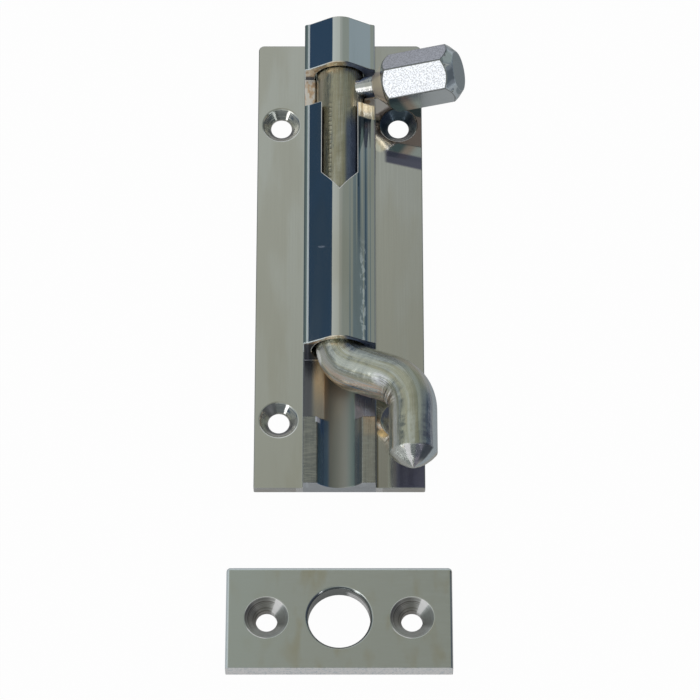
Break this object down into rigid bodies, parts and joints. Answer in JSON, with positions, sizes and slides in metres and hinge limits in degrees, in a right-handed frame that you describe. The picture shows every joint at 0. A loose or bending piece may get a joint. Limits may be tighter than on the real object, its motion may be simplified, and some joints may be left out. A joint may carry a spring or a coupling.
{
  "type": "necked barrel bolt",
  "caption": "Necked barrel bolt: a cranked round bolt with a six-sided knob slides in a ridged barrel on a flat back plate, with a loose flat keep plate.",
  "frame": {"origin": "centre of the back plate's underside", "axes": "+Z away from the door out of the back plate, the bolt runs along Y and shoots towards -Y, the knob and crank point to +X at rest"},
  "size_m": [0.0492, 0.1435, 0.0222],
  "materials": {
    "body_plating": "bright nickel plate on brass, polished, milled faces left faintly ridged",
    "rod_plating": "bright nickel plate on brass, hand polished with streaks round the crank",
    "knob_plating": "bright nickel plate on brass, flats slightly grained",
    "keep_plating": "satin nickel plate on brass, edges left sawn"
  },
  "bodies": {
    "fixed_plates": {"barrel_plate": "body_plating", "keep_plate": "keep_plating"},
    "bolt": {"bolt_rod": "rod_plating", "knob": "knob_plating"}
  },
  "joints": [
    {"name": "bolt_turn", "type": "hinge", "parent": "fixed_plates", "child": "bolt", "pos_m": [0, 0, 0.0076], "axis": [0, -1, 0], "range_deg": [0, 138]}
  ]
}
